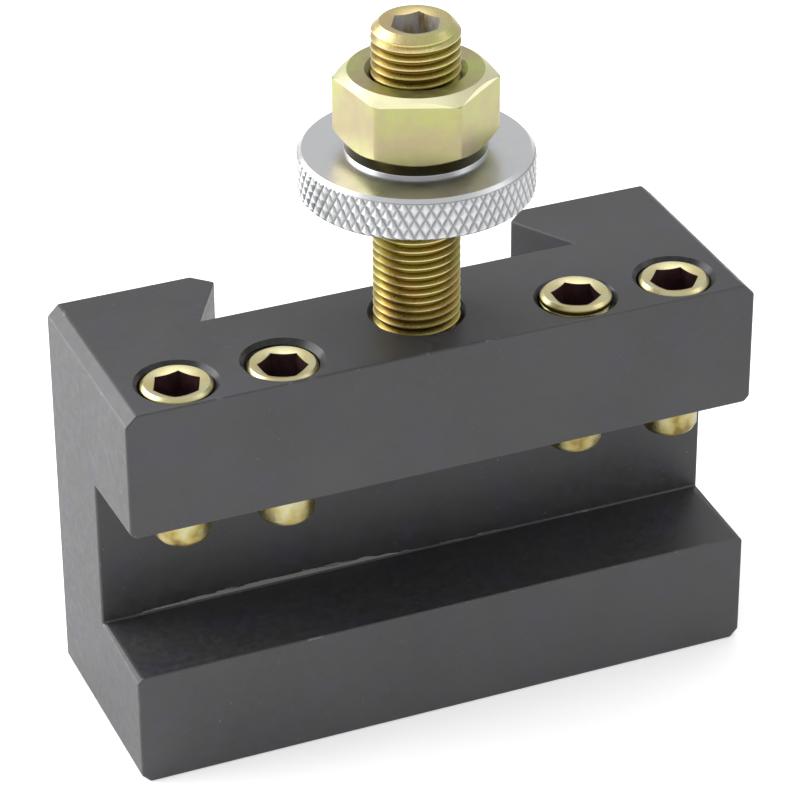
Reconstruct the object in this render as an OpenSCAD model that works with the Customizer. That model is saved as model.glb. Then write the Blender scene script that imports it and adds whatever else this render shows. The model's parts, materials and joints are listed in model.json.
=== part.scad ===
// Turning and facing tool holder for a dovetail quick change tool post.
// +X runs along the tool, the slot opens towards -Y, the dovetail towards +Y and +Z is up.
// The origin is the centre of the holder's underside.

/* [Holder] */
// Length of the holder, along the tool
holder_len = 90; // [75:1:130]
// Height from the underside to the top face
holder_height = 57.5; // [47:0.5:75]
// Chamfer along the top edge of each end
top_chamfer = 1.6; // [0.4:0.1:2.4]
// Chamfer along the bottom edge of each end
bottom_chamfer = 1.2; // [0.4:0.1:2.4]
// Chamfer where the slot runs out at each end
slot_chamfer = 0.8; // [0.2:0.1:1.5]

/* [Tool slot] */
// Depth of the slot, from its mouth to its back wall
slot_depth = 14.5; // [12:0.5:20]
// Thickness of the lower jaw, under the tool
lower_jaw = 17; // [12:0.5:22]
// Thickness of the upper jaw, which carries the screws
upper_jaw = 18.5; // [15:0.5:23]
// Wall between the slot and the dovetail
web_wall = 5.5; // [3:0.5:8]

/* [Dovetail] */
// Depth of the dovetail from the backs of the prongs
dovetail_depth = 12; // [8:0.5:15]
// Width across the dovetail's floor
dovetail_root_w = 54.8; // [48:0.2:60]
// Angle of each flank from the dovetail's floor
dovetail_angle = 60; // [50:1:70]
// Flat that blunts each prong's sharp tip, measured along the depth
prong_blunt = 2.6; // [1:0.2:4]

/* [Clamping screws] */
// Diameter over the screw's thread
screw_d = 9.7; // [8.5:0.1:12]
// Length of a screw
screw_len = 23.4; // [19:0.2:28]
// Diameter of the plain point that bears on the tool
screw_point_d = 7.7; // [5:0.1:8]
// Length of the plain point
screw_point_len = 5; // [3:0.5:6]
// Width across the flats of the socket
screw_socket_af = 5.9; // [4:0.1:6.5]
// Depth of the socket
screw_socket_depth = 6; // [3:0.5:8]
// Distance from an end of the holder to the outer screw
screw_end_gap = 9.2; // [8:0.2:12]
// Spacing of the two screws in a pair
screw_spacing = 14.7; // [13:0.1:16]
// Metal between the screws' holes and the face above the slot's mouth
screw_front_wall = 1.2; // [0.9:0.1:2]
// Width of the countersink around each screw, beyond its thread
screw_sink = 0.8; // [0.2:0.1:0.9]
// Depth of the dish in each screw's face, around its socket
screw_dish = 0.45; // [0.1:0.05:0.5]
// How far each screw stands above the top face, from -X to +X
screw_proud = [0, -0.5, 0.8, -0.1];
// Turn of each screw's socket, degrees, from -X to +X
screw_turn = [7, 37, 31, 49];

/* [Height stud] */
// Diameter over the stud's thread
stud_d = 11.7; // [9:0.1:14.5]
// Height of the stud above the top face
stud_rise = 42.5; // [40:0.5:60]
// Metal left under the drill point of the stud's hole
stud_floor = 1.5; // [1:0.1:3]
// Wall between the stud's hole and the dovetail
stud_wall = 3.1; // [2:0.1:4]
// Width across the flats of the stud's socket
stud_socket_af = 6; // [4:0.1:7]
// Depth of the stud's socket
stud_socket_depth = 7; // [3:0.5:10]
// Depth of the dish in the stud's top, around its socket
stud_dish = 0.45; // [0.1:0.05:0.5]

/* [Height wheel] */
// Diameter over the wheel's knurl
wheel_d = 31.6; // [26:0.2:33]
// Thickness of the wheel at its rim
wheel_t = 5.7; // [4:0.1:8]
// Gap between the top face and the wheel
wheel_rise = 18.9; // [8:0.1:20]
// Bevel around the wheel's top edge
wheel_bevel = 0.8; // [0.3:0.1:1.5]
// Diameter of the raised seat for the lock nut
seat_d = 19; // [16:0.5:22]
// Height of the raised seat
seat_h = 0.4; // [0.3:0.1:1]

/* [Lock nut] */
// Width across the nut's flats
nut_af = 19; // [17:0.5:22]
// Height of the nut
nut_h = 9.7; // [8:0.1:12]
// Gap between the wheel's seat and the nut
nut_gap = 1.1; // [0.5:0.1:3]
// Turn of the nut about the stud, degrees
nut_turn = 22; // [0:1:59]

/* [Fits] */
// Radial clearance of every screw, wheel and nut that moves
run_gap = 0.05; // [0.02:0.01:0.1]
// Play left under the stud in its hole
stud_floor_gap = 1; // [0.5:0.1:2]

/* [Hidden] */
$fn = 96;
past = 1;                          // how far a cut runs past the face it opens
drill_angle = 118;                 // point angle of the drills
holder_depth = slot_depth + web_wall + dovetail_depth;
front_y = -holder_depth / 2;
back_y = holder_depth / 2;
root_y = back_y - dovetail_depth;
slot_back_y = front_y + slot_depth;
slot_top = holder_height - upper_jaw;
root_half = dovetail_root_w / 2;
flank_depth = dovetail_depth - prong_blunt;
neck_half = root_half - flank_depth / tan(dovetail_angle);
screw_hole_r = screw_d / 2 + run_gap;
screw_y = front_y + screw_front_wall + screw_hole_r;
outer_x = holder_len / 2 - screw_end_gap;
screw_x = [-outer_x, screw_spacing - outer_x, outer_x - screw_spacing, outer_x];
screw_edge = 0.5;                  // chamfer on the screws' rims, points and lower hole edges
stud_y = root_y - stud_wall - stud_d / 2;
stud_drill_tip = stud_d / 2 / tan(drill_angle / 2);
stud_bottom = slot_top + stud_floor + stud_drill_tip + stud_floor_gap;
stud_top = holder_height + stud_rise;
stud_edge = 1.1;                   // chamfer on each end of the stud
thread_edge = 0.8;                 // countersink at the mouths of the tapped holes
dish_slope = 20;                   // slope of the dish around each key socket
wheel_bottom = holder_height + wheel_rise;
seat_top = wheel_bottom + wheel_t + seat_h;
nut_bottom = seat_top + nut_gap;
nut_chamfer_angle = 34;
nut_face_edge = 0.55;              // how far the flat ring on each face stops short of the flats
nut_face_r = nut_af / 2 - nut_face_edge;

// Outline of a bar seen from the front, with its four corners chamfered
module bar_outline(bottom, top, low_cut, high_cut) {
    half = holder_len / 2;
    polygon([
        [-half + low_cut, bottom], [half - low_cut, bottom],
        [half, bottom + low_cut], [half, top - high_cut],
        [half - high_cut, top], [-half + high_cut, top],
        [-half, top - high_cut], [-half, bottom + low_cut]
    ]);
}

// A bar with that outline, from one depth to another
module bar(from_y, to_y, bottom, top, low_cut, high_cut) {
    translate([0, to_y, 0])
        rotate([90, 0, 0])
            linear_extrude(to_y - from_y)
                bar_outline(bottom, top, low_cut, high_cut);
}

// The vertical dovetail that slides onto the tool post
module dovetail_cut() {
    tip_half = neck_half + prong_blunt;
    translate([0, 0, -past])
        linear_extrude(holder_height + 2 * past)
            polygon([
                [-root_half, root_y], [root_half, root_y],
                [neck_half, root_y + flank_depth], [tip_half, back_y],
                [tip_half, back_y + past], [-tip_half, back_y + past],
                [-tip_half, back_y], [-neck_half, root_y + flank_depth]
            ]);
}

// A tapped hole through the upper jaw, countersunk at both mouths
module screw_hole() {
    sink_r = screw_hole_r + screw_sink;
    translate([0, 0, slot_top])
        rotate_extrude()
            polygon([
                [0, -past], [screw_hole_r + screw_edge + past, -past],
                [screw_hole_r, screw_edge], [screw_hole_r, upper_jaw - screw_sink],
                [sink_r, upper_jaw], [sink_r, upper_jaw + past], [0, upper_jaw + past]
            ]);
}

// The stud's blind tapped hole, with its countersink and drill point
module stud_hole() {
    hole_r = stud_d / 2;
    floor_z = stud_bottom - stud_floor_gap;
    translate([0, stud_y, 0])
        rotate_extrude()
            polygon([
                [0, floor_z - stud_drill_tip], [hole_r, floor_z],
                [hole_r, holder_height - thread_edge],
                [hole_r + thread_edge, holder_height],
                [hole_r + thread_edge, holder_height + past], [0, holder_height + past]
            ]);
}

// Hexagonal key socket, mouth at z = 0, with a shallow dish around it
module key_socket(across_flats, depth, dish) {
    corner_r = across_flats / 2 / cos(30);
    drill_r = across_flats / 2;
    drill_tip = drill_r / tan(drill_angle / 2);
    translate([0, 0, -depth])
        cylinder(h = depth + past, r = corner_r, $fn = 6);
    translate([0, 0, -dish])
        cylinder(h = dish + past, r1 = drill_r, r2 = drill_r + (dish + past) / tan(dish_slope));
    translate([0, 0, -depth - drill_tip])
        cylinder(h = drill_tip, r1 = 0, r2 = drill_r);
}

module holder_body() {
    color([0.29, 0.29, 0.3])
        difference() {
            union() {
                bar(slot_back_y, back_y, 0, holder_height, bottom_chamfer, top_chamfer);
                bar(front_y, slot_back_y, 0, lower_jaw, bottom_chamfer, slot_chamfer);
                bar(front_y, slot_back_y, slot_top, holder_height, slot_chamfer, top_chamfer);
            }
            dovetail_cut();
            for (x = screw_x)
                translate([x, screw_y, 0])
                    screw_hole();
            stud_hole();
        }
}

module height_stud() {
    rim_r = stud_d / 2 - stud_edge;
    color([0.66, 0.56, 0.3])
        translate([0, stud_y, 0])
            difference() {
                rotate_extrude()
                    polygon([
                        [0, stud_bottom], [rim_r, stud_bottom],
                        [stud_d / 2, stud_bottom + stud_edge], [stud_d / 2, stud_top - stud_edge],
                        [rim_r, stud_top], [0, stud_top]
                    ]);
                translate([0, 0, stud_top])
                    key_socket(stud_socket_af, stud_socket_depth, stud_dish);
            }
}

module height_wheel() {
    bore_r = stud_d / 2 + run_gap;
    rim_r = wheel_d / 2;
    seat_r = seat_d / 2;
    lower_bevel = wheel_bevel / 2;
    color([0.8, 0.81, 0.82])
        translate([0, stud_y, wheel_bottom])
            rotate_extrude()
                polygon([
                    [bore_r + thread_edge, 0], [rim_r - lower_bevel, 0], [rim_r, lower_bevel],
                    [rim_r, wheel_t - wheel_bevel], [rim_r - wheel_bevel, wheel_t],
                    [seat_r, wheel_t], [seat_r, wheel_t + seat_h],
                    [bore_r + thread_edge, wheel_t + seat_h],
                    [bore_r, wheel_t + seat_h - thread_edge], [bore_r, thread_edge]
                ]);
}

module lock_nut() {
    bore_r = stud_d / 2 + run_gap;
    corner_r = nut_af / 2 / cos(30);
    reach = corner_r + past;
    fall = (reach - nut_face_r) * tan(nut_chamfer_angle);
    color([0.78, 0.78, 0.5])
        translate([0, stud_y, nut_bottom])
            rotate([0, 0, -nut_turn])
                intersection() {
                    cylinder(h = nut_h, r = corner_r, $fn = 6);
                    rotate_extrude()
                        polygon([
                            [bore_r + thread_edge, 0], [nut_face_r, 0], [reach, fall],
                            [reach, nut_h - fall], [nut_face_r, nut_h],
                            [bore_r + thread_edge, nut_h], [bore_r, nut_h - thread_edge],
                            [bore_r, thread_edge]
                        ]);
                }
}

// One clamping screw: number counts from -X
module clamp_screw(number) {
    screw_top = holder_height + screw_proud[number - 1];
    rim_r = screw_d / 2 - screw_edge;
    point_r = screw_point_d / 2;
    color([0.86, 0.78, 0.48])
        translate([screw_x[number - 1], screw_y, screw_top])
            difference() {
                rotate_extrude()
                    polygon([
                        [0, -screw_len], [point_r - screw_edge, -screw_len],
                        [point_r, screw_edge - screw_len], [point_r, screw_point_len - screw_len],
                        [screw_d / 2, screw_point_len - screw_len + screw_d / 2 - point_r],
                        [screw_d / 2, -screw_edge], [rim_r, 0], [0, 0]
                    ]);
                rotate([0, 0, screw_turn[number - 1]])
                    key_socket(screw_socket_af, screw_socket_depth, screw_dish);
            }
}

holder_body();
height_stud();
height_wheel();
lock_nut();
clamp_screw(1);  // clamp_screw_1
clamp_screw(2);  // clamp_screw_2
clamp_screw(3);  // clamp_screw_3
clamp_screw(4);  // clamp_screw_4
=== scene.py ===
"""A turning and facing tool holder for a dovetail quick change tool post.

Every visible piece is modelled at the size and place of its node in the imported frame.
Lengths are in metres, +X runs along the tool, -Y leaves the slot and +Z is up the stud.
"""

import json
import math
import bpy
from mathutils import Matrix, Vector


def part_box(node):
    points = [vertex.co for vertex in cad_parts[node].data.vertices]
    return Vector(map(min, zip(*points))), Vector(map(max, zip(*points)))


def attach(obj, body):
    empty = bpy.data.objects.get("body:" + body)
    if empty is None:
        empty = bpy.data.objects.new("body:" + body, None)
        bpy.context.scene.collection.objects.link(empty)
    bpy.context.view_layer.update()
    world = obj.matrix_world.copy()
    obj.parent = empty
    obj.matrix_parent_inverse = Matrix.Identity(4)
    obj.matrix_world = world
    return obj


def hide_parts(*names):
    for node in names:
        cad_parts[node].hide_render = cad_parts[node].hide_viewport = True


bl_info = {
    "name": "Dovetail Tool Holder",
    "version": (1, 0, 0),
    "blender": (4, 5, 0),
    "location": "3D View > Sidebar > Tool Holder",
    "description": "Models a turning and facing holder with its stud, wheel, nut and screws",
    "category": "Add Mesh",
}

import bmesh
import bpy
from bpy.props import FloatProperty, FloatVectorProperty, IntProperty, PointerProperty
from mathutils import Euler, Matrix, Vector

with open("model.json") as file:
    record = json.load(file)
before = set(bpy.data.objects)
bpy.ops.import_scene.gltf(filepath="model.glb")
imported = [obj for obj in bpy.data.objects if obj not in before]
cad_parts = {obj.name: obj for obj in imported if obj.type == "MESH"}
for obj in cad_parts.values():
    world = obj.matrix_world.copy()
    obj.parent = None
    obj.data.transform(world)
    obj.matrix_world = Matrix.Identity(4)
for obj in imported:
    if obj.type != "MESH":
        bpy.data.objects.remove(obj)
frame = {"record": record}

MM = 0.001
SCREWS = 4
SCREW_NODES = [f"clamp_screw_{number}" for number in range(1, SCREWS + 1)]
MOUNTS = {mount["name"]: Vector(mount["pos_m"]) for mount in frame["record"]["mounts"]}
BODY_LOW, BODY_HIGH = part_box("holder_body")
STUD_LOW, STUD_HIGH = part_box("height_stud")
WHEEL_LOW, WHEEL_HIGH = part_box("height_wheel")
NUT_LOW, NUT_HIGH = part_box("lock_nut")
SCREW_LOW, SCREW_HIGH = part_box(SCREW_NODES[0])
STUD_AXIS = Vector(((STUD_LOW.x + STUD_HIGH.x) / 2, (STUD_LOW.y + STUD_HIGH.y) / 2, 0))
HEXAGON_HALF_ANGLE = math.radians(30)
DRILL_HALF_ANGLE = math.radians(59)
DRILL_GAP = 0.03 * MM  # how far a socket's drill stays inside the hexagon's flats
DISH_SLOPE = math.radians(20)


def size(name, description, default, low=0.0, high=0.5):
    """A length that a user would change."""
    return FloatProperty(
        name=name, description=description, default=default, min=low, max=high,
        unit="LENGTH", precision=5,
    )


def tint(name, description, default):
    """A colour that a user would change."""
    return FloatVectorProperty(
        name=name, description=description, default=default, size=3, min=0.0, max=1.0,
        subtype="COLOR",
    )


def angle(name, description, degrees):
    """An angle that a user would change."""
    return FloatProperty(
        name=name, description=description, default=math.radians(degrees), subtype="ANGLE",
    )


# ---------------------------------------------------------------- settings


class BlockSettings(bpy.types.PropertyGroup):
    """Sizes and colours of the steel block."""

    slot_height: size("Slot Height", "Height of the tool slot", 22 * MM)
    top_chamfer: size("Top Chamfer", "Chamfer along the top edge of each end", 1.6 * MM)
    bottom_chamfer: size("Bottom Chamfer", "Chamfer along the bottom edge of each end", 1.2 * MM)
    slot_chamfer: size("Slot Chamfer", "Chamfer where the slot runs out at each end", 0.8 * MM)
    dovetail_width: size("Dovetail Width", "Width across the dovetail's floor", 54.8 * MM)
    dovetail_angle: angle("Dovetail Angle", "Angle of each flank from the floor", 60)
    prong_blunt: size("Prong Blunt", "Flat that blunts each prong, along the depth", 2.6 * MM)
    edge_break: size("Edge Break", "Width of the rounding left on every edge", 0.28 * MM)
    hole_gap: size("Hole Gap", "Radial clearance round each screw", 0.05 * MM)
    screw_sink: size("Screw Countersink", "Width of the countersink round each screw", 0.8 * MM)
    stud_sink: size("Stud Countersink", "Width of the countersink round the stud", 0.8 * MM)
    oxide: tint("Black Oxide", "Colour of the blackened steel", (0.0235, 0.0235, 0.025))
    bare: tint("Bare Steel", "Colour where an edge is rubbed bright", (0.42, 0.41, 0.4))


class ThreadSettings(bpy.types.PropertyGroup):
    """Pitches and depths of the cut threads."""

    stud_pitch: size("Stud Pitch", "Pitch of the stud's fine thread", 1.25 * MM)
    stud_depth: size("Stud Depth", "Depth of the stud's thread", 0.62 * MM)
    screw_pitch: size("Screw Pitch", "Pitch of the clamping screws' thread", 1.5 * MM)
    screw_depth: size("Screw Depth", "Depth of the clamping screws' thread", 0.75 * MM)
    hole_depth: size("Hole Depth", "Depth of the thread in the tapped holes", 0.42 * MM)
    steps: IntProperty(name="Steps", description="Facets in one turn", default=64, min=16)


class StudSettings(bpy.types.PropertyGroup):
    """Sizes and colours of the height stud."""

    edge: size("Edge", "Chamfer on each end", 1.1 * MM)
    socket: size("Socket", "Width across the flats of the socket", 6.0 * MM)
    socket_depth: size("Socket Depth", "Depth of the socket", 7.0 * MM)
    dish: size("Dish", "Depth of the dish around the socket", 0.45 * MM)
    # Crest is a painted highlight on the thread's crests and root is painted shade down in the
    # thread; flank lies between them.
    crest: tint("Crest", "Colour of the zinc on the thread's crests", (0.56, 0.5, 0.28))
    flank: tint("Flank", "Colour of the zinc on the thread's flanks", (0.32, 0.25, 0.07))
    root: tint("Root", "Colour of the zinc down in the thread", (0.15, 0.1, 0.02))


class WheelSettings(bpy.types.PropertyGroup):
    """Sizes and colours of the height wheel."""

    bevel: size("Bevel", "Bevel round the top edge", 0.8 * MM)
    seat_height: size("Seat Height", "Height of the raised seat", 0.4 * MM)
    seat_width: size("Seat Width", "Diameter of the raised seat", 19.0 * MM)
    seat_edge: size("Seat Edge", "Chamfer round the raised seat", 0.05 * MM)
    bore_gap: size("Bore Gap", "Radial clearance round the stud", 0.05 * MM)
    mouth: size("Mouth", "Countersink at each end of the bore", 0.8 * MM)
    diamonds: IntProperty(name="Diamonds", description="Diamonds round the rim", default=68)
    half_diamond: size("Half Diamond", "Half the height of one diamond", 1.3 * MM)
    knurl_depth: size("Knurl Depth", "Depth of the knurl", 0.32 * MM)
    knurl_flat: size("Knurl Flat", "Size of the flat left on each diamond", 0.2 * MM)
    chrome: tint("Chrome", "Colour of the plating", (0.57, 0.577, 0.59))


class NutSettings(bpy.types.PropertyGroup):
    """Sizes and colours of the lock nut."""

    flats: size("Flats", "Width across the flats", 19.0 * MM)
    turn: angle("Turn", "Turn of the nut about the stud, clockwise from above", 22)
    chamfer: angle("Chamfer", "Slope of the chamfer on both faces", 34)
    face_edge: size("Face Edge", "How far each face's ring stops short of the flats", 0.55 * MM)
    corner: size("Corner", "Rounding of the six upright edges", 0.35 * MM)
    # The band below the top face holds a painted highlight.
    highlight_height: size("Rim Height", "Height of the pale band below the top face", 1.15 * MM)
    bore_gap: size("Bore Gap", "Radial clearance round the stud", 0.05 * MM)
    mouth: size("Mouth", "Countersink at each end of the bore", 0.8 * MM)
    zinc: tint("Zinc", "Colour of the greenish yellow zinc", (0.395, 0.43, 0.135))
    # The rim colour is a painted highlight along the top chamfer.
    rim: tint("Rim", "Pale colour of the turned chamfer on top", (0.74, 0.72, 0.48))
    blush: tint("Blush", "Warmer colour that the zinc drifts to", (0.37, 0.31, 0.18))


class ScrewSettings(bpy.types.PropertyGroup):
    """Sizes and colours of the clamping screws."""

    socket: size("Socket", "Width across the flats of the socket", 5.9 * MM)
    socket_depth: size("Socket Depth", "Depth of the socket", 6.0 * MM)
    dish: size("Dish", "Depth of the dish around the socket", 0.45 * MM)
    point_width: size("Point Width", "Diameter of the plain point", 7.7 * MM)
    point_length: size("Point Length", "Length of the plain point", 5.0 * MM)
    edge: size("Edge", "Chamfer on the rim", 0.5 * MM)
    point_edge: size("Point Edge", "Chamfer on the end of the point", 1.0 * MM)
    collar: size("Collar", "Plain band between the rim and the thread", 0.5 * MM)
    turns: FloatVectorProperty(
        name="Turns", description="Turn of each socket, in degrees, from -X to +X",
        default=(7, 37, 31, 49), size=SCREWS,
    )
    zinc: tint("Zinc", "Colour of the pale yellow zinc", (0.57, 0.54, 0.33))
    # The colour outside the rim is a painted reflection of the dark countersink on the chamfer.
    rim_shade: tint("Thread Zinc", "Colour of the zinc outside the rim", (0.2, 0.17, 0.05))
    # The socket colour is painted shade down in the recess.
    stain: tint("Stain", "Colour down in the socket", (0.045, 0.018, 0.02))


class StageSettings(bpy.types.PropertyGroup):
    """Camera, lights and floor."""

    camera_place: FloatVectorProperty(
        name="Camera Place", description="Where the camera stands", subtype="TRANSLATION",
        default=(-0.1688, -0.4043, 0.3010), size=3, unit="LENGTH",
    )
    camera_yaw: angle("Camera Yaw", "Turn of the camera towards +X", 22.61)
    camera_pitch: angle("Camera Pitch", "How far the camera looks down", 30.69)
    camera_roll: angle("Camera Roll", "Roll of the camera about its own axis", -0.34)
    lens: FloatProperty(name="Lens", description="Focal length", default=167.67, unit="CAMERA")
    floor_span: size("Floor Span", "Side of the floor", 6.0, high=20.0)
    floor: tint("Floor", "Colour of the floor", (0.93, 0.93, 0.93))
    daylight: FloatProperty(name="Daylight", description="Strength of the soft surround", default=0.8)


SETTINGS = {
    "block": BlockSettings,
    "threads": ThreadSettings,
    "stud": StudSettings,
    "wheel": WheelSettings,
    "nut": NutSettings,
    "screws": ScrewSettings,
    "stage": StageSettings,
}


# ---------------------------------------------------------------- mesh tools


def deselect():
    """Leaves edit mode and lets go of every object."""
    if bpy.context.object and bpy.context.object.mode != "OBJECT":
        bpy.ops.object.mode_set(mode="OBJECT")
    bpy.ops.object.select_all(action="DESELECT")


def activate(piece):
    """Makes one object the only selected and active one."""
    deselect()
    piece.select_set(True)
    bpy.context.view_layer.objects.active = piece


def edit(piece):
    """Opens one object for editing with all of its mesh selected."""
    activate(piece)
    bpy.ops.object.mode_set(mode="EDIT")
    bpy.ops.mesh.select_all(action="SELECT")


def named(name):
    """Names the object that a primitive operator has just made."""
    piece = bpy.context.object
    piece.name = name
    piece.data.name = name
    return piece


def pick(piece, kind, wanted):
    """Selects the vertices, edges or faces for which wanted() is true, in edit mode."""
    bpy.ops.mesh.select_mode(type={"verts": "VERT", "edges": "EDGE", "faces": "FACE"}[kind])
    bpy.ops.mesh.select_all(action="DESELECT")
    mesh = bmesh.from_edit_mesh(piece.data)
    chosen = [element for element in getattr(mesh, kind) if wanted(element)]
    for element in chosen:
        element.select_set(True)
    bmesh.update_edit_mesh(piece.data)
    if not chosen:
        raise RuntimeError(f"{piece.name}: no {kind} were found where they should be")


def near(a, b):
    """True where two lengths are the same to a micrometre."""
    return abs(a - b) < 1e-6


def middle(element):
    """The middle of an edge."""
    return (element.verts[0].co + element.verts[1].co) / 2


def along(edge, axis):
    """True for an edge that runs along one axis, 0 to 2."""
    run = edge.verts[1].co - edge.verts[0].co
    return abs(run[axis]) > 0.999 * run.length


def use(piece, kind, **settings):
    """Adds a modifier with these settings and applies it."""
    activate(piece)
    modifier = piece.modifiers.new(kind.lower(), kind)
    for key, value in settings.items():
        setattr(modifier, key, value)
    bpy.ops.object.modifier_apply(modifier=modifier.name)


def cut(piece, tool, operation="DIFFERENCE"):
    """Cuts a piece with a closed tool, or trims it to the tool, and removes the tool."""
    use(piece, "BOOLEAN", object=tool, operation=operation, solver="EXACT", material_mode="TRANSFER")
    bpy.data.objects.remove(tool)
    edit(piece)
    bpy.ops.mesh.remove_doubles(threshold=1e-7)
    bpy.ops.mesh.dissolve_degenerate(threshold=1e-7)
    deselect()


def tidy_shell(piece):
    """Merges doubles and points every face outwards."""
    edit(piece)
    bpy.ops.mesh.remove_doubles(threshold=1e-6)
    bpy.ops.mesh.normals_make_consistent(inside=False)
    deselect()


def draw(name, points):
    """Draws an open line, one extruded vertex after another."""
    deselect()
    bpy.ops.mesh.primitive_plane_add(size=MM, location=(0, 0, 0))
    piece = named(name)
    bpy.ops.object.mode_set(mode="EDIT")
    bpy.ops.mesh.select_mode(type="VERT")
    bpy.ops.mesh.merge(type="CENTER")
    bpy.ops.transform.translate(value=points[0])
    for start, end in zip(points, points[1:]):
        bpy.ops.mesh.extrude_region_move(TRANSFORM_OT_translate={"value": end - start})
    bpy.ops.mesh.select_all(action="SELECT")
    return piece


def turned(name, profile, steps=96, axis=STUD_AXIS):
    """A shape turned on a lathe from (radius, height) pairs, round an upright axis."""
    piece = draw(name, [Vector((radius, 0, height)) for radius, height in profile])
    bpy.ops.mesh.spin(steps=steps, angle=math.tau, center=(0, 0, 0), axis=(0, 0, 1))
    bpy.ops.mesh.select_all(action="SELECT")
    bpy.ops.mesh.remove_doubles(threshold=1e-7)
    bpy.ops.mesh.normals_make_consistent(inside=False)
    bpy.ops.transform.translate(value=(axis.x, axis.y, 0))
    deselect()
    return piece


def threaded(name, crest, depth, pitch, low, high, steps, axis=STUD_AXIS):
    """A rod with a right-hand thread, flat at both ends, round an upright axis."""
    flat, valley = pitch / 8, pitch / 5
    flank = (pitch - flat - valley) / 2
    bottom = low - pitch
    profile = [
        Vector((crest, 0, bottom)),
        Vector((crest, 0, bottom + flat)),
        Vector((crest - depth, 0, bottom + flat + flank)),
        Vector((crest - depth, 0, bottom + flat + flank + valley)),
        Vector((crest, 0, bottom + pitch)),
    ]
    rod = draw(name, profile)
    deselect()
    turns = math.ceil((high - low) / pitch) + 2
    use(
        rod, "SCREW", axis="Z", angle=math.tau, screw_offset=pitch, iterations=turns,
        steps=steps, render_steps=steps, use_merge_vertices=True, merge_threshold=1e-7,
    )
    tidy_shell(rod)
    for height, direction in ((low, -1), (high, 1)):
        edit(rod)
        bpy.ops.mesh.bisect(
            plane_co=(0, 0, height), plane_no=(0, 0, direction), use_fill=True,
            clear_outer=True, threshold=1e-7,
        )
    edit(rod)
    bpy.ops.mesh.normals_make_consistent(inside=False)
    bpy.ops.transform.translate(value=(axis.x, axis.y, 0))
    deselect()
    return rod


def cut_socket(piece, sizes, mouth, turn, finish, walls, axis=STUD_AXIS):
    """Cuts a key socket: a shallow dish, then the hexagon with its drill point."""
    past = MM
    drill = sizes.socket / 2 - DRILL_GAP
    tip = drill / math.tan(DRILL_HALF_ANGLE)
    spread = (sizes.dish + past) / math.tan(DISH_SLOPE)
    cone = turned("dish", [
        (0, mouth - sizes.dish), (drill, mouth - sizes.dish), (drill + spread, mouth + past),
        (0, mouth + past),
    ], axis=axis)
    cut(piece, paint(cone, finish))
    deselect()
    bpy.ops.mesh.primitive_cylinder_add(
        vertices=6, radius=sizes.socket / 2 / math.cos(HEXAGON_HALF_ANGLE),
        depth=sizes.socket_depth + past,
        location=(axis.x, axis.y, mouth + (past - sizes.socket_depth) / 2),
        rotation=(0, 0, turn - HEXAGON_HALF_ANGLE),
    )
    key = paint(named("hex_key"), walls)
    bpy.ops.object.transform_apply(location=True, rotation=True, scale=True)
    floor = mouth - sizes.socket_depth
    point = turned("drill_point", [
        (0, floor - tip), (drill, floor), (drill, floor + past), (0, floor + past),
    ], axis=axis)
    cut(key, paint(point, walls), "UNION")
    cut(piece, key)


def paint(piece, *materials):
    """Gives a piece its materials; a tool's go to the faces that it cuts."""
    for material in materials:
        piece.data.materials.append(material)
    return piece


def settle(piece, node, body, limit=30):
    """Finishes a piece: smooth where it is round, at the origin, on its body."""
    activate(piece)
    bpy.ops.object.transform_apply(location=True, rotation=True, scale=True)
    bpy.ops.object.shade_smooth_by_angle(angle=math.radians(limit))
    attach(piece, body)
    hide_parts(node)
    deselect()
    return piece


# ---------------------------------------------------------------- node tools


def node(material, kind, inputs=None, **settings):
    """Adds a shader node; its inputs take values or other nodes' outputs."""
    made = material.node_tree.nodes.new(kind)
    for key, value in settings.items():
        setattr(made, key, value)
    for key, value in (inputs or {}).items():
        if isinstance(value, bpy.types.NodeSocket):
            material.node_tree.links.new(value, made.inputs[key])
        else:
            made.inputs[key].default_value = value
    return made


def blank(name):
    """A new material with only its output node."""
    material = bpy.data.materials.new(name)
    material.use_nodes = True
    material.node_tree.nodes.clear()
    return material


def shade(material, **inputs):
    """Gives a material its principled shader."""
    shader = node(material, "ShaderNodeBsdfPrincipled", {
        key.replace("_", " ").title().replace("Ior", "IOR"): value for key, value in inputs.items()
    })
    output = node(material, "ShaderNodeOutputMaterial")
    material.node_tree.links.new(shader.outputs[0], output.inputs["Surface"])
    return material


def place(material, scale=(1, 1, 1), offset=(0, 0, 0)):
    """Object coordinates, moved and then scaled."""
    coordinates = node(material, "ShaderNodeTexCoord")
    moved = node(
        material, "ShaderNodeVectorMath",
        {0: coordinates.outputs["Object"], 1: offset}, operation="SUBTRACT",
    )
    scaled = node(
        material, "ShaderNodeVectorMath", {0: moved.outputs[0], 1: scale}, operation="MULTIPLY"
    )
    return scaled.outputs[0]


def noise(material, where, scale, detail=2.0, roughness=0.5, distortion=0.0):
    """Smooth noise from 0 to 1."""
    made = node(material, "ShaderNodeTexNoise", {
        "Vector": where, "Scale": scale, "Detail": detail, "Roughness": roughness,
        "Distortion": distortion,
    })
    return made.outputs["Fac"]


def ramp(material, factor, *stops):
    """Colours or greys at (position, value) stops along a factor."""
    made = node(material, "ShaderNodeValToRGB", {"Fac": factor})
    band = made.color_ramp.elements
    while len(band) < len(stops):
        band.new(0.5)
    for element, (position, value) in zip(band, stops):
        element.position = position
        element.color = (*value, 1) if hasattr(value, "__len__") else (value, value, value, 1)
    return made.outputs["Color"]


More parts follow.
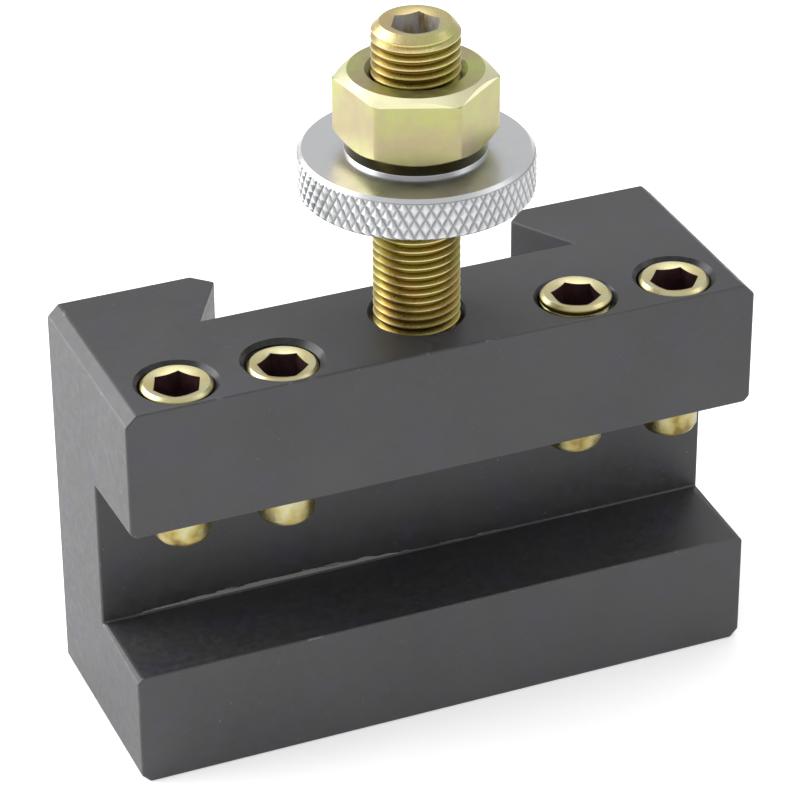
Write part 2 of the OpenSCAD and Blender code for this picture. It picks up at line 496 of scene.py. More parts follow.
def blend(material, factor, first, second, mode="MIX"):
    """Mixes two colours."""
    made = node(material, "ShaderNodeMix", data_type="RGBA", blend_type=mode, clamp_result=False)
    for index, value in ((0, factor), (6, first), (7, second)):
        if isinstance(value, bpy.types.NodeSocket):
            material.node_tree.links.new(value, made.inputs[index])
        elif index and not hasattr(value, "__len__"):
            made.inputs[index].default_value = (value, value, value, 1)
        elif index:
            made.inputs[index].default_value = (*value, 1)
        else:
            made.inputs[index].default_value = value
    return made.outputs[2]


def reckon(material, operation, first, second=0.0, clamp=False):
    """One step of arithmetic."""
    made = node(
        material, "ShaderNodeMath", {0: first, 1: second}, operation=operation, use_clamp=clamp
    )
    return made.outputs[0]


def relief(material, height, strength, depth):
    """A bump normal from a height."""
    made = node(
        material, "ShaderNodeBump", {"Height": height, "Strength": strength, "Distance": depth}
    )
    return made.outputs["Normal"]


def from_axis(material, axis):
    """Distance from an upright axis, in metres."""
    flat = node(
        material, "ShaderNodeVectorMath",
        {0: place(material, scale=(1, 1, 0), offset=tuple(axis))}, operation="LENGTH",
    )
    return flat.outputs["Value"]


# ---------------------------------------------------------------- finishes


def oxide_steel(block):
    """Ground steel under black oxide: fine grinding lines, faint stains and a few specks."""
    material = blank("black_oxide")
    broad = noise(material, place(material), 45, 4, 0.6)
    mottle = noise(material, place(material), 900, 5, 0.65)
    grind = noise(material, place(material, (900, 4000, 4000)), 1, 2, 0.6)
    fine = noise(material, place(material), 5200, 2, 0.5)
    dark = Vector(block.oxide)
    colour = ramp(material, broad, (0.3, tuple(dark * 0.74)), (0.7, tuple(dark * 1.26)))
    bloom = noise(material, place(material, offset=(0.3, 0, 0)), 170, 3, 0.6)
    colour = blend(material, 1.0, colour, ramp(
        material, bloom, (0.36, (1.0, 1.06, 0.92)), (0.5, (1.0, 1.0, 1.0)), (0.64, (1.05, 0.97, 1.3)),
    ), "MULTIPLY")
    colour = blend(material, ramp(material, mottle, (0.42, 0.0), (0.72, 0.6)), colour,
                   (dark.x * 1.7, dark.y * 1.7, dark.z * 1.9))
    specks = noise(material, place(material), 2300, 1, 0.4)
    colour = blend(material, ramp(material, specks, (0.775, 0.0), (0.8, 0.35)), colour,
                   (0.2, 0.21, 0.22))
    bare = slot_corner(material)
    colour = blend(material, bare, colour, (0.3, 0.3, 0.29))
    rough = ramp(material, mottle, (0.3, 0.4), (0.75, 0.56))
    height = reckon(material, "ADD", reckon(material, "MULTIPLY", grind, 0.6), fine)
    return shade(
        material, base_color=colour, metallic=0.0, roughness=rough, ior=1.55,
        normal=relief(material, height, 0.25, 0.02 * MM),
    )


def slot_corner(material):
    """1 along the foot of the slot's back wall, where the cutter's corner left bare streaks."""
    spot = place(material, offset=(BODY_LOW.x, MOUNTS["tool_back"].y, MOUNTS["tool_seat"].z))
    parts = node(material, "ShaderNodeSeparateXYZ", {0: spot})
    tallest, shallow, deep = 1.8 * MM, 0.3 * MM, 0.5 * MM
    ragged = noise(material, place(material, (260, 900, 2600)), 1, 4, 0.7)
    along_slot = reckon(material, "DIVIDE", parts.outputs["X"], BODY_HIGH.x - BODY_LOW.x)
    streak = ramp(material, along_slot, (0.03, 0.0), (0.07, 0.5), (0.2, 1.0), (0.42, 1.0),
                  (0.52, 0.35), (1.0, 0.22))
    reach = reckon(material, "MULTIPLY", ragged, tallest)
    reach = reckon(material, "MULTIPLY", reach, streak)
    high = reckon(material, "LESS_THAN", parts.outputs["Z"], reach)
    low = reckon(material, "GREATER_THAN", parts.outputs["Z"], 0.02 * MM)
    wall = reckon(material, "GREATER_THAN", parts.outputs["Y"], -deep)
    inside = reckon(material, "LESS_THAN", parts.outputs["Y"], shallow)
    strip = reckon(material, "MULTIPLY", high, low)
    strip = reckon(material, "MULTIPLY", strip, reckon(material, "MULTIPLY", wall, inside))
    return reckon(material, "MULTIPLY", strip, 0.8)


def rubbed_edge(block):
    """The broken edges, where handling has worn the oxide through in a few small nicks."""
    material = blank("rubbed_edge")
    wear = noise(material, place(material), 420, 5, 0.7)
    dark = Vector(block.oxide) * 1.3
    colour = ramp(material, wear, (0.6, tuple(dark)), (0.68, tuple(Vector(block.bare) * 0.3)),
                  (0.76, tuple(block.bare)))
    metal = ramp(material, wear, (0.6, 0.0), (0.7, 0.9))
    rough = ramp(material, wear, (0.4, 0.45), (0.7, 0.3))
    return shade(
        material, base_color=colour, metallic=metal, roughness=rough, ior=1.55,
        normal=relief(material, wear, 0.4, 0.05 * MM),
    )


def tapped_steel(block):
    """The tapped and countersunk holes, cut by the tool, with painted shade making them darker than
    the block.
    """
    material = blank("tapped_hole")
    mottle = noise(material, place(material), 1500, 3, 0.6)
    dark = Vector(block.oxide)
    # Painted shade: the holes go down to four tenths of the oxide's colour.
    colour = ramp(material, mottle, (0.35, tuple(dark * 0.4)), (0.7, tuple(dark)))
    return shade(
        material, base_color=colour, metallic=0.0, roughness=0.3, ior=1.4,
        normal=relief(material, mottle, 0.3, 0.03 * MM),
    )


def stud_zinc(stud, threads):
    """Yellow zinc on the stud: a painted highlight on the pale crests, olive flanks, painted shade in
    the brown roots, and rainbow drift.
    """
    material = blank("stud_yellow_zinc")
    crest_radius = (STUD_HIGH.x - STUD_LOW.x) / 2
    depth = reckon(material, "SUBTRACT", crest_radius, from_axis(material, STUD_AXIS))
    thread_shading = reckon(material, "DIVIDE", depth, threads.stud_depth, clamp=True)
    drift = noise(material, place(material), 160, 3, 0.6)
    # Painted light by depth into the thread: a painted highlight on the crests, painted shade in the
    # roots.
    colour = ramp(material, thread_shading, (0.0, tuple(stud.crest)), (0.3, tuple(stud.flank)),
                  (1.0, tuple(stud.root)))
    # Near the top end, the crest's pale tone takes the place of the painted highlight and shade.
    top = node(material, "ShaderNodeSeparateXYZ", {
        0: place(material, offset=(0, 0, STUD_HIGH.z - 2 * stud.edge))
    })
    on_top = reckon(material, "GREATER_THAN", top.outputs["Z"], 0.0)
    colour = blend(material, on_top, colour, tuple(Vector(stud.crest) * 0.9))
    rainbow = ramp(material, drift, (0.34, (0.85, 1.0, 0.6)), (0.5, (1.0, 0.98, 0.8)),
                   (0.64, (1.02, 0.86, 0.7)), (0.74, (0.95, 0.86, 0.88)))
    colour = blend(material, 0.8, colour, rainbow, "MULTIPLY")
    fine = noise(material, place(material), 3000, 3, 0.6)
    return shade(
        material, base_color=colour, metallic=1.0,
        roughness=ramp(material, fine, (0.3, 0.24), (0.75, 0.45)),
        normal=relief(material, fine, 0.3, 0.03 * MM),
    )


def stud_socket():
    """The walls of the stud's socket: thin zinc over bare grey steel."""
    material = blank("stud_socket")
    drift = noise(material, place(material, (1, 1, 0.3)), 700, 3, 0.6)
    colour = ramp(material, drift, (0.4, (0.5, 0.49, 0.5)), (0.54, (0.38, 0.33, 0.2)),
                  (0.66, (0.16, 0.1, 0.04)))
    return shade(
        material, base_color=colour, metallic=0.35, roughness=0.4,
        normal=relief(material, drift, 0.3, 0.03 * MM),
    )


def nut_zinc(nut):
    """Satin yellow zinc on the nut, greener and pinker by patches, with a painted highlight on the
    top chamfer.
    """
    material = blank("nut_yellow_zinc")
    drift = noise(material, place(material), 90, 3, 0.55)
    cloud = noise(material, place(material), 700, 4, 0.6)
    colour = ramp(material, drift, (0.38, tuple(nut.zinc)), (0.58, tuple(nut.blush)))
    colour = blend(material, ramp(material, cloud, (0.35, 0.0), (0.75, 0.3)), colour,
                   (0.5, 0.5, 0.25))
    # Painted highlight: near the top and outside the face ring, the zinc is blended towards the pale
    # rim colour.
    spot = node(material, "ShaderNodeSeparateXYZ", {0: place(material, offset=(0, 0, NUT_HIGH.z))})
    highlight_band = reckon(material, "GREATER_THAN", spot.outputs["Z"], -nut.highlight_height)
    outside = reckon(material, "GREATER_THAN", from_axis(material, STUD_AXIS),
                     nut.flats / 2 - nut.face_edge)
    pale = reckon(material, "MULTIPLY", highlight_band, outside)
    colour = blend(material, reckon(material, "MULTIPLY", pale, 0.75), colour, tuple(nut.rim))
    fine = noise(material, place(material), 2500, 3, 0.6)
    return shade(
        material, base_color=colour, metallic=1.0,
        roughness=ramp(material, cloud, (0.3, 0.34), (0.7, 0.46)),
        normal=relief(material, fine, 0.25, 0.03 * MM),
    )


def wheel_chrome(wheel):
    """Satin chrome over turned steel, duller down in the knurl, with painted shade darkening its
    pits.
    """
    material = blank("wheel_chrome")
    rings = node(material, "ShaderNodeTexWave", {
        "Vector": place(material, offset=tuple(STUD_AXIS)), "Scale": 900.0, "Distortion": 1.5,
        "Detail": 2.0,
    }, wave_type="RINGS", rings_direction="Z")
    rim = (WHEEL_HIGH.x - WHEEL_LOW.x) / 2
    radius = from_axis(material, STUD_AXIS)
    depth = reckon(material, "DIVIDE", reckon(material, "SUBTRACT", rim, radius), wheel.knurl_depth)
    on_rim = reckon(material, "LESS_THAN", depth, 1.05)
    # Painted shade: the deeper into the knurl, the darker the chrome, down to a third of its colour.
    knurl_shade = reckon(material, "MULTIPLY", ramp(material, depth, (0.45, 0.0), (1.0, 0.8)), on_rim)
    smear = noise(material, place(material), 300, 3, 0.6)
    colour = blend(material, ramp(material, smear, (0.4, 0.0), (0.8, 0.35)), tuple(wheel.chrome),
                   tuple(Vector(wheel.chrome) * 0.82))
    colour = blend(material, knurl_shade, colour, tuple(Vector(wheel.chrome) * 0.3))
    rough = ramp(material, smear, (0.3, 0.27), (0.75, 0.38))
    knurled = reckon(material, "GREATER_THAN", depth, 0.03)
    rough = blend(material, reckon(material, "MULTIPLY", knurled, on_rim), rough, 0.4)
    return shade(
        material, base_color=colour, metallic=1.0, roughness=rough,
        normal=relief(material, rings.outputs["Fac"], 0.08, 0.02 * MM),
    )


def screw_zinc(screws, axis, top, suffix):
    """Pale yellow zinc on one screw's face, darker mottled gold on the point, and a painted dark
    reflection outside its rim.
    """
    material = blank(f"screw_yellow_zinc{suffix}")
    drift = noise(material, place(material), 260, 3, 0.6)
    fine = noise(material, place(material), 3200, 3, 0.6)
    zinc = Vector(screws.zinc)
    colour = ramp(material, drift, (0.35, tuple(zinc)), (0.7, (zinc.x, zinc.y * 0.88, zinc.z * 0.7)))
    below = node(material, "ShaderNodeSeparateXYZ", {
        0: place(material, offset=(0, 0, top - screws.socket_depth))
    })
    on_point = reckon(material, "LESS_THAN", below.outputs["Z"], 0.0)
    patches = noise(material, place(material), 330, 2, 0.5)
    colour = blend(material, on_point, colour, ramp(
        material, patches, (0.34, (0.19, 0.13, 0.04)), (0.5, (0.38, 0.31, 0.11)),
        (0.68, tuple(zinc * 0.8)),
    ))
    # Painted reflection: outside the rim, the zinc is blended to a dark olive.
    rim = (SCREW_HIGH.x - SCREW_LOW.x) / 2 - 0.35 * screws.edge
    outside = reckon(material, "SUBTRACT", from_axis(material, axis), rim)
    outside = reckon(material, "DIVIDE", outside, 0.15 * MM, clamp=True)
    colour = blend(material, outside, colour, tuple(screws.rim_shade))
    return shade(
        material, base_color=colour, metallic=1.0,
        roughness=ramp(material, fine, (0.3, 0.26), (0.75, 0.44)),
        normal=relief(material, fine, 0.25, 0.03 * MM),
    )


def socket_stain(screws):
    """The walls of a key socket: brown zinc made nearly black by painted shade."""
    material = blank("socket_stain")
    drift = noise(material, place(material), 700, 3, 0.6)
    stain = Vector(screws.stain)
    # Painted shade: the walls are darkened to near black, brown by patches.
    colour = ramp(material, drift, (0.35, tuple(stain * 0.6)), (0.7, tuple(stain * 1.5)))
    return shade(
        material, base_color=colour, metallic=0.2, roughness=0.4,
        normal=relief(material, drift, 0.3, 0.03 * MM),
    )


def floor_paper(stage):
    """Matt white paper with a barely seen tooth."""
    material = blank("floor_paper")
    tooth = noise(material, place(material), 120, 4, 0.6)
    white = Vector(stage.floor)
    colour = ramp(material, tooth, (0.3, tuple(white * 0.99)), (0.7, tuple(white)))
    return shade(
        material, base_color=colour, roughness=0.9, specular_ior_level=0.0,
        emission_color=(1.0, 1.0, 1.0, 1.0), emission_strength=0.3,
    )


# ---------------------------------------------------------------- pieces


class HOLDER_OT_stage(bpy.types.Operator):
    """Sets up the floor, the soft light and the camera"""

    bl_idname = "holder.stage"
    bl_label = "Stage"

    def execute(self, context):
        stage = context.scene.tool_holder.stage
        self.lay_floor(stage)
        self.hang_lights(context, stage)
        self.stand_camera(context, stage)
        return {"FINISHED"}

    def lay_floor(self, stage):
        """A wide sheet of paper under the holder."""
        deselect()
        bpy.ops.mesh.primitive_plane_add(size=stage.floor_span, location=(0, 0, -0.01 * MM))
        floor = named("floor")
        bpy.ops.object.transform_apply(location=True, rotation=True, scale=True)
        floor.data.materials.append(floor_paper(stage))

    def hang_lights(self, context, stage):
        """A bright surround and three soft boxes that face the holder."""
        world = bpy.data.worlds.new("surround")
        context.scene.world = world
        world.use_nodes = True
        surround = world.node_tree.nodes["Background"]
        surround.inputs["Color"].default_value = (1.0, 1.0, 1.0, 1.0)
        surround.inputs["Strength"].default_value = stage.daylight
        boxes = [
            ("left_box", (-0.9, 0.55, 0.4), 1.2, 22.0),
            ("top_box", (0.1, 0.3, 1.1), 0.8, 3.0),
            ("right_box", (0.9, -0.5, 0.6), 0.6, 2.0),
        ]
        target = Vector((0, 0, BODY_HIGH.z / 2))
        for name, place_at, side, power in boxes:
            bpy.ops.object.light_add(type="AREA", location=place_at)
            light = bpy.context.object
            light.name = name
            light.rotation_euler = (Vector(place_at) - target).to_track_quat("Z", "Y").to_euler()
            light.data.shape = "SQUARE"
            light.data.size = side
            light.data.energy = power

    def stand_camera(self, context, stage):
        """The camera, high on the left of the slot, with a long lens."""
        bpy.ops.object.camera_add(location=stage.camera_place)
        camera = bpy.context.object
        aim = Euler((math.radians(90) - stage.camera_pitch, 0, -stage.camera_yaw)).to_matrix()
        aim = aim @ Matrix.Rotation(stage.camera_roll, 3, "Z")
        camera.rotation_euler = aim.to_euler()
        camera.data.lens = stage.lens
        camera.data.sensor_width = 36
        camera.data.clip_start = 0.01
        context.scene.camera = camera
        context.scene.view_settings.view_transform = "Standard"


class HOLDER_OT_block(bpy.types.Operator):
    """Models the steel block with its slot, dovetail and tapped holes"""

    bl_idname = "holder.block"
    bl_label = "Block"

    def execute(self, context):
        settings = context.scene.tool_holder
        block = settings.block
        body = paint(self.blank_bar(block), oxide_steel(block), rubbed_edge(block))
        cut(body, self.slot_tool(block))
        self.chamfer_slot(body, block)
        cut(body, self.dovetail_tool(block))
        use(
            body, "BEVEL", width=block.edge_break, segments=3, limit_method="ANGLE",
            angle_limit=math.radians(25), material=1, use_clamp_overlap=True,
        )
        tapped = tapped_steel(block)
        for tool in self.hole_tools(settings):
            cut(body, paint(tool, tapped))
        settle(body, "holder_body", "holder", limit=8)
        return {"FINISHED"}

    def blank_bar(self, block):
        """A bar of the block's size, with its four end edges chamfered."""
        deselect()
        span = BODY_HIGH - BODY_LOW
        bpy.ops.mesh.primitive_cube_add(size=1, location=(BODY_LOW + BODY_HIGH) / 2, scale=span)
        body = named("holder_block")
        bpy.ops.object.transform_apply(location=True, rotation=True, scale=True)
        bpy.ops.object.mode_set(mode="EDIT")
        for level, chamfer in ((BODY_HIGH.z, block.top_chamfer), (BODY_LOW.z, block.bottom_chamfer)):
            pick(body, "edges", lambda edge: along(edge, 1) and near(middle(edge).z, level))
            bpy.ops.mesh.bevel(offset=chamfer, segments=1, affect="EDGES")
        deselect()
        return body

    def slot_tool(self, block):
        """A cube that clears the tool slot, from its mouth to its back wall."""
        past = MM
        low = Vector((BODY_LOW.x - past, BODY_LOW.y - past, MOUNTS["tool_seat"].z))
        high = Vector((BODY_HIGH.x + past, MOUNTS["tool_back"].y, low.z + block.slot_height))
        deselect()
        bpy.ops.mesh.primitive_cube_add(size=1, location=(low + high) / 2, scale=high - low)
        tool = named("slot_tool")
        bpy.ops.object.transform_apply(location=True, rotation=True, scale=True)
        return tool

    def chamfer_slot(self, body, block):
        """Chamfers the ends of the two jaws where they meet the slot."""
        floor = MOUNTS["tool_seat"].z
        edit(body)
        pick(body, "edges", lambda edge: (
            along(edge, 1)
            and near(abs(middle(edge).x), BODY_HIGH.x)
            and (near(middle(edge).z, floor) or near(middle(edge).z, floor + block.slot_height))
        ))
        bpy.ops.mesh.bevel(offset=block.slot_chamfer, segments=1, affect="EDGES")
        deselect()

    def dovetail_tool(self, block):
        """A tapered block, widest at the dovetail's floor, with a straight run past the tips."""
        past = MM
        root_y = MOUNTS["post_dovetail"].y
        flank = BODY_HIGH.y - block.prong_blunt - root_y
        neck = block.dovetail_width / 2 - flank / math.tan(block.dovetail_angle)
        tip = neck + block.prong_blunt
        tall = BODY_HIGH.z - BODY_LOW.z + 2 * past
        deselect()
        bpy.ops.mesh.primitive_plane_add(size=1, location=(0, root_y, BODY_HIGH.z / 2),
                                         rotation=(math.radians(90), 0, 0))
        tool = named("dovetail_tool")
        tool.scale = (block.dovetail_width, tall, 1)
        bpy.ops.object.transform_apply(location=True, rotation=True, scale=True)
        bpy.ops.object.mode_set(mode="EDIT")
        width = block.dovetail_width
        for reach, wide in ((flank, 2 * neck), (block.prong_blunt, 2 * tip), (past, 2 * tip)):
            bpy.ops.mesh.select_mode(type="FACE")
            bpy.ops.mesh.extrude_region_move(TRANSFORM_OT_translate={"value": (0, reach, 0)})
            bpy.ops.transform.resize(value=(wide / width, 1, 1))
            width = wide
        bpy.ops.mesh.select_all(action="SELECT")
        bpy.ops.mesh.normals_make_consistent(inside=False)
        deselect()
        return tool

    def hole_tools(self, settings):
        """Cutters for the four tapped holes, their countersinks, and the stud's blind hole."""
        block, threads = settings.block, settings.threads
        top, ceiling = BODY_HIGH.z, MOUNTS["tool_seat"].z + block.slot_height
        past = MM
        hole = (SCREW_HIGH.x - SCREW_LOW.x) / 2 + block.hole_gap
        origin = Vector((0, 0, 0))
        tap = threaded(
            "tap", hole + threads.hole_depth, threads.hole_depth, threads.screw_pitch,
            ceiling - past, top + past, threads.steps, axis=origin,
        )
        sink = hole + block.screw_sink
        cone = turned("countersink", [
            (0, top - block.screw_sink), (hole, top - block.screw_sink), (sink, top),
            (sink, top + past), (0, top + past),
        ], axis=origin)
        relief_cone = turned("relief", [
            (0, ceiling - past), (hole + 1.5 * past, ceiling - past), (hole, ceiling + past / 2),
            (0, ceiling + past / 2),
        ], axis=origin)
        stud = (STUD_HIGH.x - STUD_LOW.x) / 2
        stud_tool = turned("stud_drill", [
            (0, STUD_LOW.z - past), (stud, STUD_LOW.z - past), (stud, top - block.stud_sink),
            (stud + block.stud_sink, top), (stud + block.stud_sink, top + past), (0, top + past),
        ])
        return [self.at_every_screw(tool) for tool in (tap, cone, relief_cone)] + [stud_tool]

    def at_every_screw(self, tool):
        """Copies a cutter to each screw and joins the copies."""
        copies = []
        for name in SCREW_NODES:
            low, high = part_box(name)
            copy = tool.copy()
            copy.data = tool.data.copy()
            bpy.context.collection.objects.link(copy)
            copy.location = ((low.x + high.x) / 2, (low.y + high.y) / 2, 0)
            copies.append(copy)
        bpy.data.objects.remove(tool)
        activate(copies[0])
        for copy in copies:
            copy.select_set(True)
        bpy.ops.object.join()
        bpy.ops.object.transform_apply(location=True, rotation=True, scale=True)
        joined = bpy.context.object
        deselect()
        return joined


class HOLDER_OT_stud(bpy.types.Operator):
    """Models the height stud with its cut thread and key socket"""

    bl_idname = "holder.stud"
    bl_label = "Height Stud"

    def execute(self, context):
        settings = context.scene.tool_holder
        stud, threads = settings.stud, settings.threads
        radius = (STUD_HIGH.x - STUD_LOW.x) / 2
        spare = 0.3 * MM
        rod = threaded(
            "height_stud_cut", radius, threads.stud_depth, threads.stud_pitch,
            STUD_LOW.z - spare, STUD_HIGH.z + spare, threads.steps,
        )
        rim, outer = radius - stud.edge, radius + 0.1 * spare
        envelope = turned("envelope", [
            (0, STUD_LOW.z), (rim, STUD_LOW.z), (outer, STUD_LOW.z + outer - rim),
            (outer, STUD_HIGH.z - outer + rim), (rim, STUD_HIGH.z), (0, STUD_HIGH.z),
        ])
        zinc = stud_zinc(stud, threads)
        cut(paint(rod, zinc), paint(envelope, zinc), "INTERSECT")
        cut_socket(rod, stud, STUD_HIGH.z, 0, zinc, stud_socket())
        settle(rod, "height_stud", "holder")
        return {"FINISHED"}


class HOLDER_OT_wheel(bpy.types.Operator):
    """Models the height wheel with its diamond knurl and raised seat"""

    bl_idname = "holder.wheel"
    bl_label = "Height Wheel"

    def execute(self, context):
        wheel = context.scene.tool_holder.wheel
        band = paint(self.knurled_bar(wheel), wheel_chrome(wheel))
        cut(band, self.turned_disc(wheel), "INTERSECT")
        settle(band, "height_wheel", "wheel", limit=20)
        return {"FINISHED"}

    def knurled_bar(self, wheel):
        """A round bar, taller than the wheel, with raised diamonds all over its side."""
        outer = (WHEEL_HIGH.x - WHEEL_LOW.x) / 2
        rows = math.ceil((WHEEL_HIGH.z - WHEEL_LOW.z) / wheel.half_diamond) + 1
        middle_z = (WHEEL_HIGH.z + WHEEL_LOW.z) / 2
        low = middle_z - rows / 2 * wheel.half_diamond
        deselect()
        bpy.ops.mesh.primitive_cylinder_add(
            vertices=2 * wheel.diamonds, radius=outer, depth=rows * wheel.half_diamond,
            location=(STUD_AXIS.x, STUD_AXIS.y, middle_z),
        )
        bar = named("height_wheel_knurled")
        bpy.ops.object.transform_apply(location=True, rotation=True, scale=True)
        bpy.ops.object.mode_set(mode="EDIT")
        pick(bar, "edges", lambda edge: along(edge, 2))
        bpy.ops.mesh.subdivide(number_cuts=rows - 1)

        def is_crossing(vert):
            """True at every other point of the grid, where two grooves cross."""
            spoke = math.atan2(vert.co.y - STUD_AXIS.y, vert.co.x - STUD_AXIS.x)
            column = round(spoke / math.tau * 2 * wheel.diamonds)
            row = round((vert.co.z - low) / wheel.half_diamond)
            return (column + row) % 2 == 0

        pick(bar, "verts", is_crossing)
        bpy.ops.mesh.vert_connect()
        pick(bar, "verts", is_crossing)
        sunk = (outer - wheel.knurl_depth) / outer
        bpy.ops.transform.resize(value=(sunk, sunk, 1), center_override=STUD_AXIS)
        ends = (low, low + rows * wheel.half_diamond)
        pick(bar, "verts", lambda vert: not is_crossing(vert)
             and not any(near(vert.co.z, end) for end in ends))
        bpy.ops.mesh.bevel(offset=wheel.knurl_flat, affect="VERTICES")
        deselect()
        return bar

    def turned_disc(self, wheel):
        """The shape that the bar is turned to: both bevels, the seat and the bore."""
        outer = (WHEEL_HIGH.x - WHEEL_LOW.x) / 2
        bore = (STUD_HIGH.x - STUD_LOW.x) / 2 + wheel.bore_gap
        face = WHEEL_HIGH.z - wheel.seat_height
        seat, mouth, soft = wheel.seat_width / 2, wheel.mouth, wheel.seat_edge
        past = 0.1 * MM
        return turned("disc", [
            (outer + past, WHEEL_LOW.z + wheel.bevel / 2 + past),
            (outer - wheel.bevel / 2, WHEEL_LOW.z), (bore + mouth, WHEEL_LOW.z),
            (bore, WHEEL_LOW.z + mouth), (bore, WHEEL_HIGH.z - mouth),
            (bore + mouth, WHEEL_HIGH.z), (seat - soft, WHEEL_HIGH.z), (seat, WHEEL_HIGH.z - soft),
            (seat, face), (outer - wheel.bevel, face),
            (outer + past, face - wheel.bevel - past),
            (outer + past, WHEEL_LOW.z + wheel.bevel / 2 + past),
        ], steps=192)


class HOLDER_OT_nut(bpy.types.Operator):
    """Models the lock nut with its two chamfered faces"""

    bl_idname = "holder.nut"
    bl_label = "Lock Nut"

    def execute(self, context):
        nut = context.scene.tool_holder.nut
        corner = nut.flats / 2 / math.cos(HEXAGON_HALF_ANGLE)
        bore = (STUD_HIGH.x - STUD_LOW.x) / 2 + nut.bore_gap
        past = MM
        deselect()
        bpy.ops.mesh.primitive_cylinder_add(
            vertices=6, radius=corner, depth=NUT_HIGH.z - NUT_LOW.z,
            location=(STUD_AXIS.x, STUD_AXIS.y, (NUT_LOW.z + NUT_HIGH.z) / 2),
            rotation=(0, 0, -nut.turn - HEXAGON_HALF_ANGLE),
        )
        piece = paint(named("lock_nut_hex"), nut_zinc(nut))
        bpy.ops.object.transform_apply(location=True, rotation=True, scale=True)
        bpy.ops.object.mode_set(mode="EDIT")
        pick(piece, "edges", lambda edge: along(edge, 2))
        bpy.ops.mesh.bevel(offset=nut.corner, segments=3, affect="EDGES")
        ring = nut.flats / 2 - nut.face_edge
        reach = corner + past
        fall = (reach - ring) * math.tan(nut.chamfer)
        cut(piece, turned("chamfers", [
            (0, NUT_LOW.z), (ring, NUT_LOW.z), (reach, NUT_LOW.z + fall),
            (reach, NUT_HIGH.z - fall), (ring, NUT_HIGH.z), (0, NUT_HIGH.z),
        ], steps=192), "INTERSECT")
        cut(piece, turned("bore", [
            (0, NUT_LOW.z - past), (bore + nut.mouth + past, NUT_LOW.z - past),
            (bore, NUT_LOW.z + nut.mouth), (bore, NUT_HIGH.z - nut.mouth),
            (bore + nut.mouth + past, NUT_HIGH.z + past), (0, NUT_HIGH.z + past),
        ]))
        settle(piece, "lock_nut", "nut", limit=20)
        return {"FINISHED"}


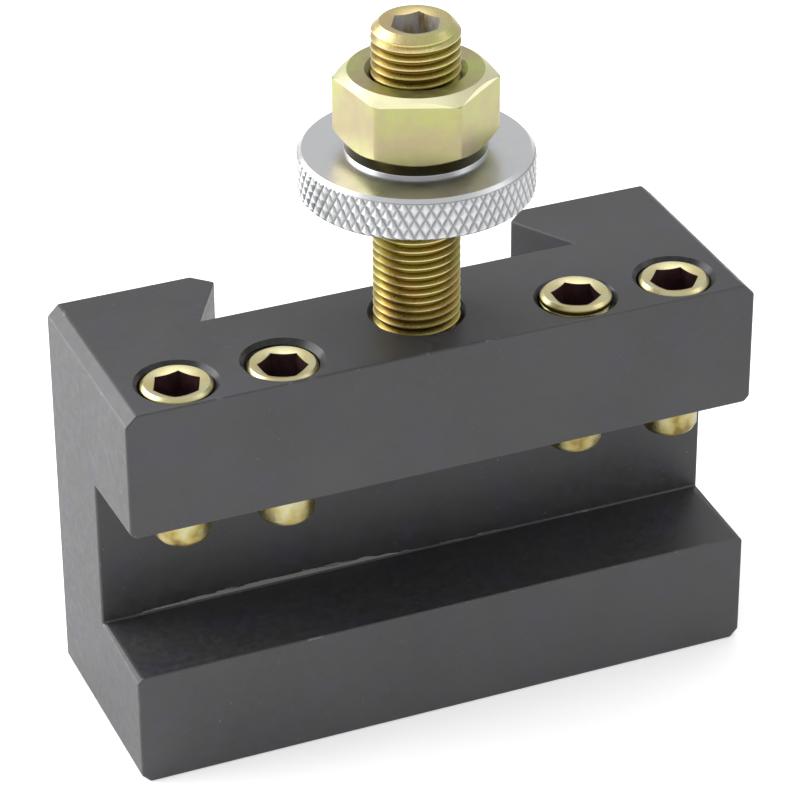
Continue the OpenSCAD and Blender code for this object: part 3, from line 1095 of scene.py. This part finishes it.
class HOLDER_OT_screws(bpy.types.Operator):
    """Models one clamping screw, then copies it and cuts each socket at its own turn"""

    bl_idname = "holder.screws"
    bl_label = "Clamping Screws"

    def execute(self, context):
        settings = context.scene.tool_holder
        screws = settings.screws
        pattern = self.blank_screw(settings)
        stain = socket_stain(screws)
        for index, node_name in enumerate(SCREW_NODES):
            low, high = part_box(node_name)
            axis = Vector(((low.x + high.x) / 2, (low.y + high.y) / 2, 0))
            screw = pattern.copy()
            screw.data = pattern.data.copy()
            screw.name = f"{node_name}_cut"
            bpy.context.collection.objects.link(screw)
            screw.location = (axis.x, axis.y, high.z - SCREW_HIGH.z)
            zinc = screw_zinc(screws, axis, high.z, f"_{index + 1}")
            screw.data.materials[0] = zinc
            activate(screw)
            bpy.ops.object.transform_apply(location=True, rotation=True, scale=True)
            turn = math.radians(screws.turns[index])
            cut_socket(screw, screws, high.z, turn, zinc, stain, axis)
            settle(screw, node_name, f"screw_{index + 1}")
        bpy.data.objects.remove(pattern)
        return {"FINISHED"}

    def blank_screw(self, settings):
        """The first screw on the origin's axis, before its socket is cut."""
        screws, threads = settings.screws, settings.threads
        radius = (SCREW_HIGH.x - SCREW_LOW.x) / 2
        origin = Vector((0, 0, 0))
        spare = 0.3 * MM
        shoulder = SCREW_LOW.z + screws.point_length
        point = screws.point_width / 2
        rod = threaded(
            "screw_pattern", radius, threads.screw_depth, threads.screw_pitch,
            shoulder - spare, SCREW_HIGH.z + spare, threads.steps, axis=origin,
        )
        paint(rod, blank("screw_finish"))  # each copy's own zinc takes this slot
        outer = radius + 0.1 * spare
        collar = SCREW_HIGH.z - screws.edge - screws.collar
        cut(rod, turned("envelope", [
            (0, shoulder), (point - 0.1 * MM, shoulder), (outer, shoulder + outer - point),
            (outer, collar - spare), (outer - 2 * spare, collar + spare), (0, collar + spare),
        ], axis=origin), "INTERSECT")
        cut(rod, turned("collar", [
            (0, collar - 3 * spare), (radius - 3 * spare, collar - 3 * spare), (radius, collar),
            (radius, SCREW_HIGH.z - screws.edge), (radius - screws.edge, SCREW_HIGH.z),
            (0, SCREW_HIGH.z),
        ], axis=origin), "UNION")
        taper = screws.point_edge
        cut(rod, turned("point", [
            (0, SCREW_LOW.z), (point - taper, SCREW_LOW.z),
            (point - 0.35 * taper, SCREW_LOW.z + 0.35 * taper), (point, SCREW_LOW.z + taper),
            (point, shoulder + spare), (0, shoulder + spare),
        ], axis=origin), "UNION")
        return rod


OPERATORS = [
    HOLDER_OT_stage, HOLDER_OT_block, HOLDER_OT_stud, HOLDER_OT_wheel, HOLDER_OT_nut,
    HOLDER_OT_screws,
]


# ---------------------------------------------------------------- add-on


class ToolHolderSettings(bpy.types.PropertyGroup):
    """All the settings, one group for each kind of piece."""

    block: PointerProperty(type=BlockSettings)
    threads: PointerProperty(type=ThreadSettings)
    stud: PointerProperty(type=StudSettings)
    wheel: PointerProperty(type=WheelSettings)
    nut: PointerProperty(type=NutSettings)
    screws: PointerProperty(type=ScrewSettings)
    stage: PointerProperty(type=StageSettings)


class HOLDER_PT_panel(bpy.types.Panel):
    """Lists the settings and the operators."""

    bl_idname = "HOLDER_PT_panel"
    bl_label = "Tool Holder"
    bl_space_type = "VIEW_3D"
    bl_region_type = "UI"
    bl_category = "Tool Holder"

    def draw(self, context):
        settings = context.scene.tool_holder
        for group in SETTINGS:
            box = self.layout.box()
            box.label(text=group.title())
            for key in SETTINGS[group].__annotations__:
                box.prop(getattr(settings, group), key)
        for operator in OPERATORS:
            self.layout.operator(operator.bl_idname)


CLASSES = [*SETTINGS.values(), ToolHolderSettings, *OPERATORS, HOLDER_PT_panel]


def register():
    for item in CLASSES:
        bpy.utils.register_class(item)
    bpy.types.Scene.tool_holder = PointerProperty(type=ToolHolderSettings)


def unregister():
    del bpy.types.Scene.tool_holder
    for item in reversed(CLASSES):
        bpy.utils.unregister_class(item)


def main():
    """Builds the stage and every piece in order."""
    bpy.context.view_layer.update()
    register()
    bpy.ops.holder.stage()
    bpy.ops.holder.block()
    bpy.ops.holder.stud()
    bpy.ops.holder.wheel()
    bpy.ops.holder.nut()
    bpy.ops.holder.screws()


if __name__ == "__main__":
    main()
